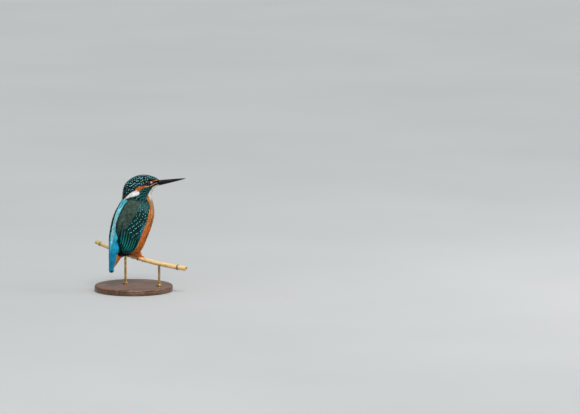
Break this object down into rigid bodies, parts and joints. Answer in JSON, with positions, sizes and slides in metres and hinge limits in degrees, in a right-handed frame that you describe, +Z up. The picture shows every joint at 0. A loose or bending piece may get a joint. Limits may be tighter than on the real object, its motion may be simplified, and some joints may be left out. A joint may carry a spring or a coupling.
{
  "type": "common kingfisher on a reed perch with a display stand",
  "caption": "Small upright bird with a long straight bill, turned head and short tail, gripping a cut reed stem on two rods and a round base.",
  "frame": {"origin": "centre of the stand base's underside, on the floor", "axes": "+Z up; +X the way the bird's trunk faces; +Y the bird's left"},
  "size_m": [0.1134, 0.1167, 0.155],
  "materials": {
    "plumage": "feathers, dark green-blue above, light blue back, orange below",
    "bill": "smooth black horn",
    "eye": "wet, very dark brown",
    "foot": "scaly orange-red skin",
    "claw": "dark horn",
    "reed": "dry straw-coloured stem",
    "stand_wood": "dark stained, satin",
    "stand_brass": "satin"
  },
  "bodies": {
    "root": {"head": "plumage", "neck": "plumage", "trunk": "plumage", "tail": "plumage", "wing_left": "plumage", "wing_right": "plumage", "bill_upper": "bill", "bill_lower": "bill", "eye_left": "eye", "eye_right": "eye", "leg_left": "foot", "leg_right": "foot", "claw_left_inner": "claw", "claw_left_middle": "claw", "claw_left_outer": "claw", "claw_left_hind": "claw", "claw_right_inner": "claw", "claw_right_middle": "claw", "claw_right_outer": "claw", "claw_right_hind": "claw", "perch_reed": "reed", "stand_base": "stand_wood", "stand_rod_1": "stand_brass", "stand_rod_2": "stand_brass"}
  },
  "joints": []
}
